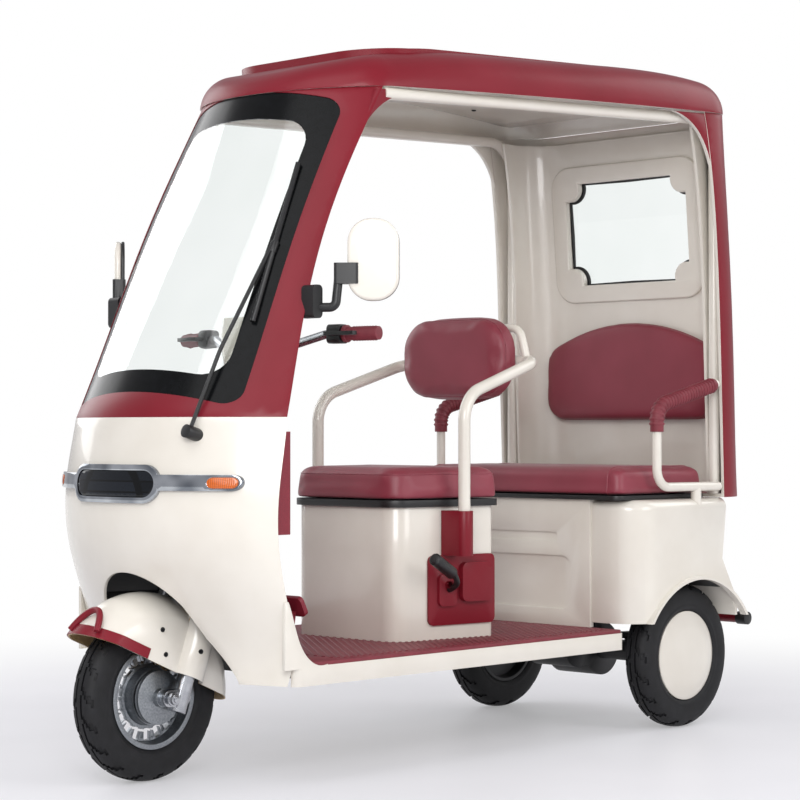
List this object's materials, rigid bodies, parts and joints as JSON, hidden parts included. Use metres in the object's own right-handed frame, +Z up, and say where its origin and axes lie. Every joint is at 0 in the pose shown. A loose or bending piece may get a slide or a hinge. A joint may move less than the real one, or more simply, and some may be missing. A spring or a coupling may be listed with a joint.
{
  "type": "electric passenger tricycle",
  "caption": "Roofed electric tricycle: single steered front wheel under a bow-fronted cowl, open-sided cabin with a driver's seat and a rear bench, framed windscreen and curved rear wall.",
  "frame": {"origin": "centre of the vehicle's footprint box, on the ground", "axes": "+X forward along the vehicle, +Y to the vehicle's left, +Z up"},
  "size_m": [2.2494, 1.0638, 1.888],
  "materials": {
    "cream_paint": "gloss",
    "burgundy_paint": "satin",
    "burgundy_plastic": "satin",
    "burgundy_leather": "satin",
    "burgundy_rubber": "matte",
    "black_plastic": "matte",
    "black_steel": "satin",
    "bright_steel": "satin",
    "cast_alloy": "satin",
    "chrome_trim": "polished",
    "dark_lens": "gloss",
    "amber_lens": "gloss",
    "red_lens": "gloss",
    "clear_glass": "gloss",
    "tyre_rubber": "matte",
    "battery_case": "matte"
  },
  "bodies": {
    "chassis": {"armrest_sleeves": "burgundy_rubber", "armrests": "cream_paint", "battery": "battery_case", "bench_backrest": "burgundy_leather", "bench_base": "cream_paint", "brake_pedal": "burgundy_plastic", "chassis": "black_steel", "driver_backrest": "burgundy_leather", "floor_mat": "burgundy_rubber", "floor_pan": "cream_paint", "front_cowl": "cream_paint", "headlamp_bezel": "chrome_trim", "headlamp_lens": "dark_lens", "headliner": "cream_paint", "indicators": "amber_lens", "leaf_springs": "black_steel", "leg_shield": "burgundy_plastic", "mirrors": "black_plastic", "rear_axle": "black_steel", "rear_body": "cream_paint", "rear_bumper": "burgundy_paint", "rear_liners": "black_plastic", "rear_lining": "cream_paint", "rear_shell": "burgundy_paint", "rear_window": "clear_glass", "roof": "burgundy_paint", "screen_frame": "burgundy_paint", "seat_box": "cream_paint", "seat_fittings": "burgundy_paint", "seat_tube": "cream_paint", "side_frames": "cream_paint", "tail_lamps": "red_lens", "wheel_housing": "black_plastic", "windscreen": "clear_glass", "wiper": "black_plastic"},
    "steering": {"fork": "bright_steel", "brake_plate": "cast_alloy", "front_mudguard": "cream_paint", "handlebar": "bright_steel", "hand_grips": "burgundy_rubber", "lever_pods": "black_plastic", "nacelle": "cream_paint"},
    "front_wheel": {"front_tyre": "tyre_rubber", "front_rim": "cast_alloy"},
    "rear_wheel_left": {"rear_tyre_left": "tyre_rubber", "rear_rim_left": "black_steel", "hub_cap_left": "cream_paint"},
    "rear_wheel_right": {"rear_tyre_right": "tyre_rubber", "rear_rim_right": "black_steel", "hub_cap_right": "cream_paint"},
    "driver_seat_lid": {"seat_pan": "black_plastic", "driver_cushion": "burgundy_leather"},
    "bench_lid": {"bench_pan": "black_plastic", "bench_cushion": "burgundy_leather"}
  },
  "joints": [
    {"name": "steer", "type": "hinge", "parent": "chassis", "child": "steering", "pos_m": [0.87, 0, 0.205], "axis": [-0.342, 0, 0.9397], "range_deg": [-32, 32]},
    {"name": "front_spin", "type": "hinge", "parent": "steering", "child": "front_wheel", "pos_m": [0.914, 0, 0.205], "axis": [0, 1, 0], "continuous": true},
    {"name": "rear_spin_left", "type": "hinge", "parent": "chassis", "child": "rear_wheel_left", "pos_m": [-0.776, 0.339, 0.205], "axis": [0, 1, 0], "continuous": true},
    {"name": "rear_spin_right", "type": "hinge", "parent": "chassis", "child": "rear_wheel_right", "pos_m": [-0.776, -0.339, 0.205], "axis": [0, 1, 0], "continuous": true},
    {"name": "driver_seat_hinge", "type": "hinge", "parent": "chassis", "child": "driver_seat_lid", "pos_m": [0.244, 0, 0.6483], "axis": [0, 1, 0], "range_deg": [0, 80]},
    {"name": "bench_hinge", "type": "hinge", "parent": "chassis", "child": "bench_lid", "pos_m": [-0.456, 0, 0.6553], "axis": [0, 1, 0], "range_deg": [0, 62]}
  ]
}
